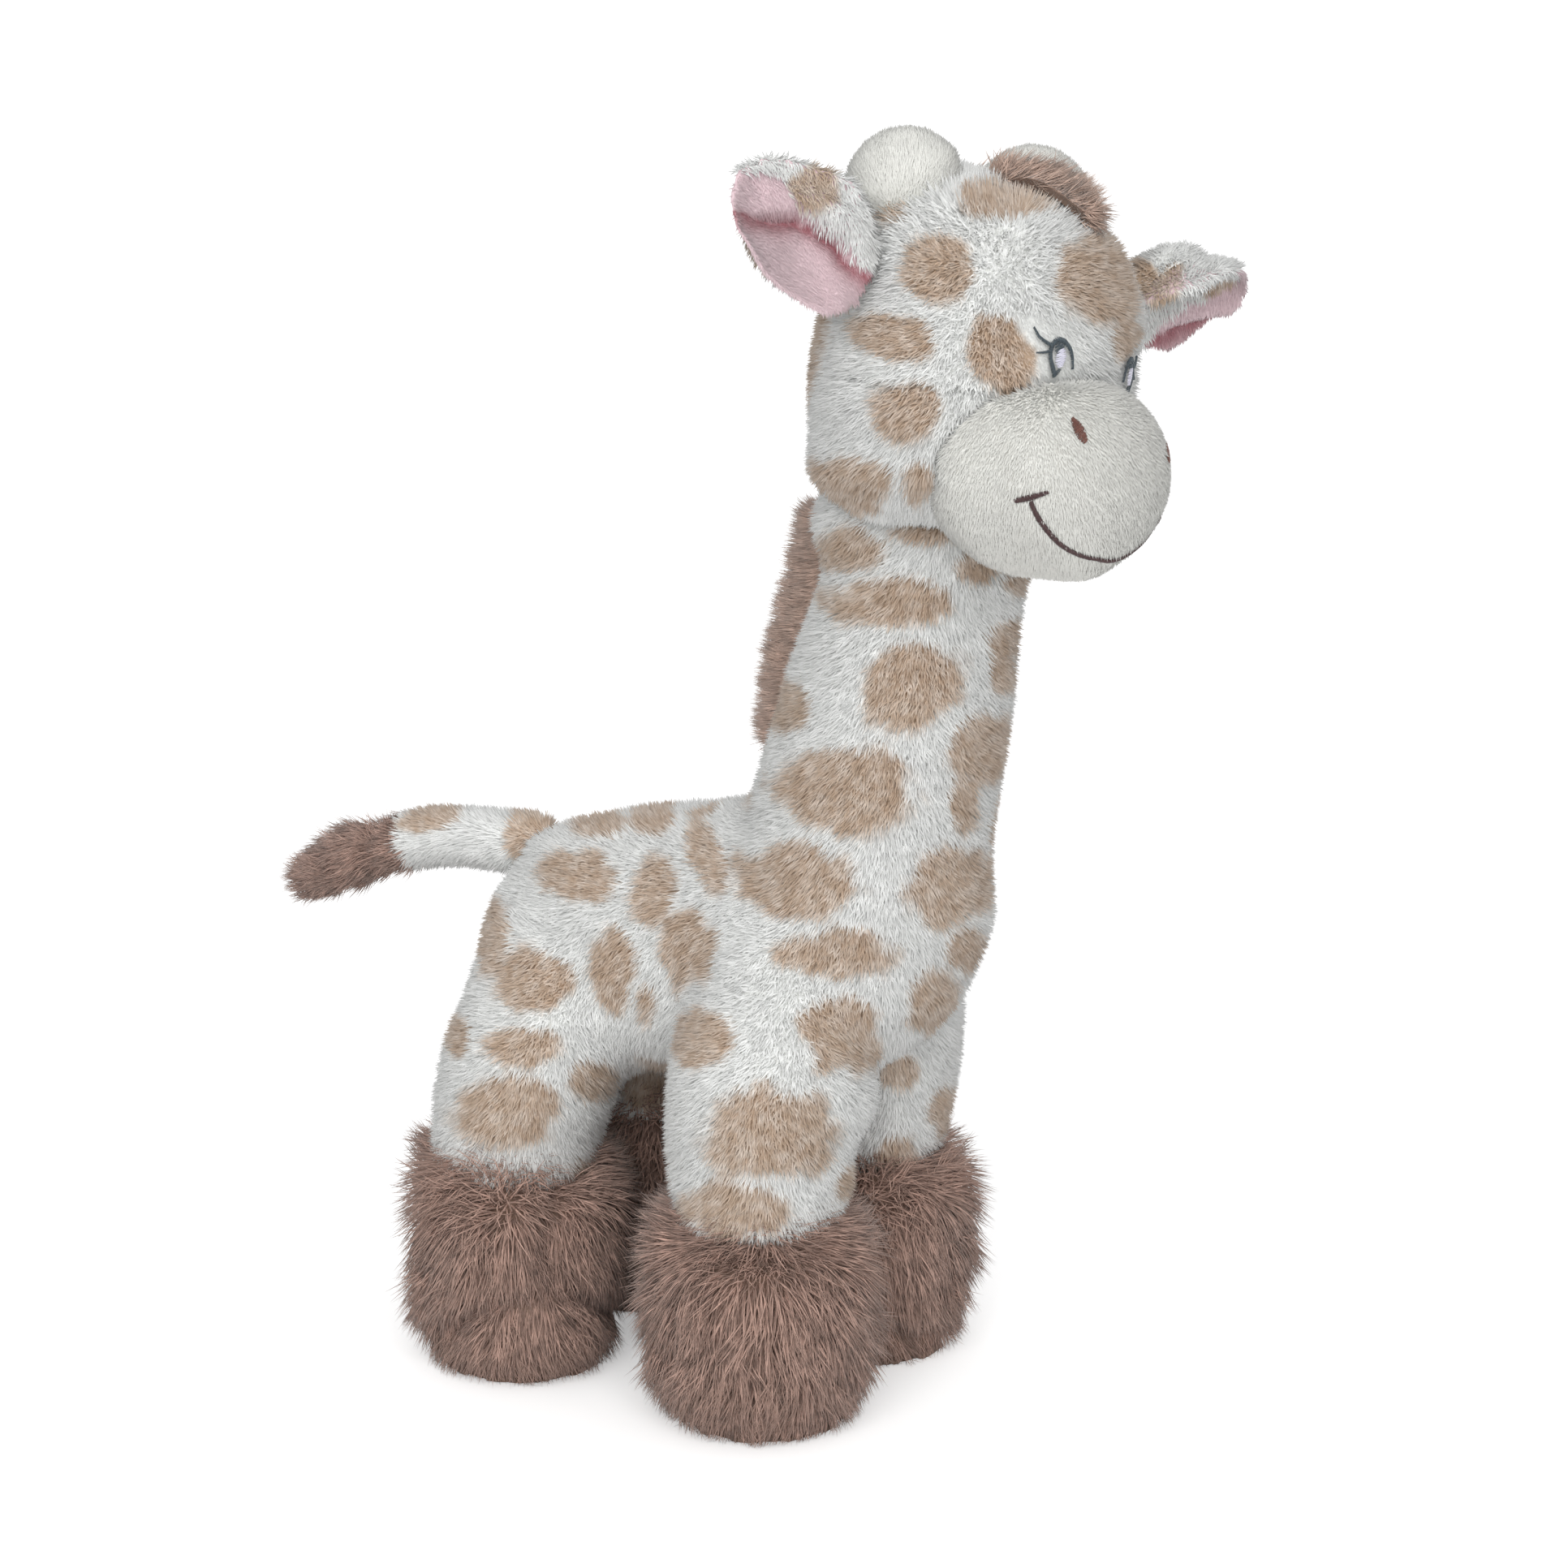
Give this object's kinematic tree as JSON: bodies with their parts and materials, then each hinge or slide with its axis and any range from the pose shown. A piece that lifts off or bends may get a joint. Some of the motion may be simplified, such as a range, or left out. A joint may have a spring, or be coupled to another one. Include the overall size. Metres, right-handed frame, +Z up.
{
  "type": "plush giraffe",
  "caption": "Standing stuffed giraffe in short spotted fur, with shaggy brown boots, mane and tail tuft, cream muzzle and horns, pink-lined ears and a stitched smile.",
  "frame": {"origin": "middle of the bounding box at floor level, under the soles", "axes": "+Z up, -Y the way the giraffe looks along its body, +X to its left side"},
  "size_m": [0.1496, 0.231, 0.2863],
  "materials": {
    "spotted_fur": "short pile, warm white with tan spots",
    "cream_velour": "smooth short velour",
    "brown_long_fur": "shaggy long pile",
    "pink_velour": "smooth short velour",
    "polyester_fibre": "loose fibre filling",
    "brown_sole_cloth": "flat knit",
    "bean_bag_cloth": "plain weave",
    "slate_thread": "satin embroidery",
    "brown_thread": "satin embroidery"
  },
  "bodies": {
    "giraffe": {"torso_skin": "spotted_fur", "torso_stuffing": "polyester_fibre", "front_right_leg_skin": "spotted_fur", "front_right_leg_stuffing": "polyester_fibre", "front_right_boot": "brown_long_fur", "front_right_sole": "brown_sole_cloth", "front_right_bean_bag": "bean_bag_cloth", "front_left_leg_skin": "spotted_fur", "front_left_leg_stuffing": "polyester_fibre", "front_left_boot": "brown_long_fur", "front_left_sole": "brown_sole_cloth", "front_left_bean_bag": "bean_bag_cloth", "hind_right_leg_skin": "spotted_fur", "hind_right_leg_stuffing": "polyester_fibre", "hind_right_boot": "brown_long_fur", "hind_right_sole": "brown_sole_cloth", "hind_right_bean_bag": "bean_bag_cloth", "hind_left_leg_skin": "spotted_fur", "hind_left_leg_stuffing": "polyester_fibre", "hind_left_boot": "brown_long_fur", "hind_left_sole": "brown_sole_cloth", "hind_left_bean_bag": "bean_bag_cloth", "neck_skin": "spotted_fur", "neck_stuffing": "polyester_fibre", "neck_mane": "brown_long_fur"},
    "head": {"head_skin": "spotted_fur", "head_stuffing": "polyester_fibre", "muzzle_skin": "cream_velour", "muzzle_stuffing": "polyester_fibre", "right_horn_skin": "cream_velour", "right_horn_stuffing": "polyester_fibre", "left_horn_skin": "cream_velour", "left_horn_stuffing": "polyester_fibre", "forelock": "brown_long_fur", "right_eye": "slate_thread", "right_nostril": "brown_thread", "left_eye": "slate_thread", "left_nostril": "brown_thread", "smile": "brown_thread"},
    "right_ear": {"right_ear_back": "spotted_fur", "right_ear_lining": "pink_velour"},
    "left_ear": {"left_ear_back": "spotted_fur", "left_ear_lining": "pink_velour"},
    "tail": {"tail_skin": "spotted_fur", "tail_stuffing": "polyester_fibre", "tail_tuft": "brown_long_fur"}
  },
  "joints": [
    {"name": "head_turn", "type": "hinge", "parent": "giraffe", "child": "head", "pos_m": [-0.0024, -0.0557, 0.199], "axis": [0.0393, -0.2035, 0.9783], "range_deg": [-20, 20], "stiffness_Nm_per_rad": 0.3},
    {"name": "right_ear_fold", "type": "hinge", "parent": "head", "child": "right_ear", "pos_m": [-0.0337, -0.0585, 0.2585], "axis": [0.4638, 0.1835, 0.8667], "range_deg": [-45, 45], "stiffness_Nm_per_rad": 0.02},
    {"name": "left_ear_fold", "type": "hinge", "parent": "head", "child": "left_ear", "pos_m": [0.0316, -0.0723, 0.2376], "axis": [-0.0661, 0.7947, -0.6034], "range_deg": [-45, 45], "stiffness_Nm_per_rad": 0.02},
    {"name": "tail_swing", "type": "hinge", "parent": "giraffe", "child": "tail", "pos_m": [-0.0064, 0.0532, 0.1118], "axis": [1, 0, 0], "range_deg": [-30, 30], "stiffness_Nm_per_rad": 0.08}
  ]
}
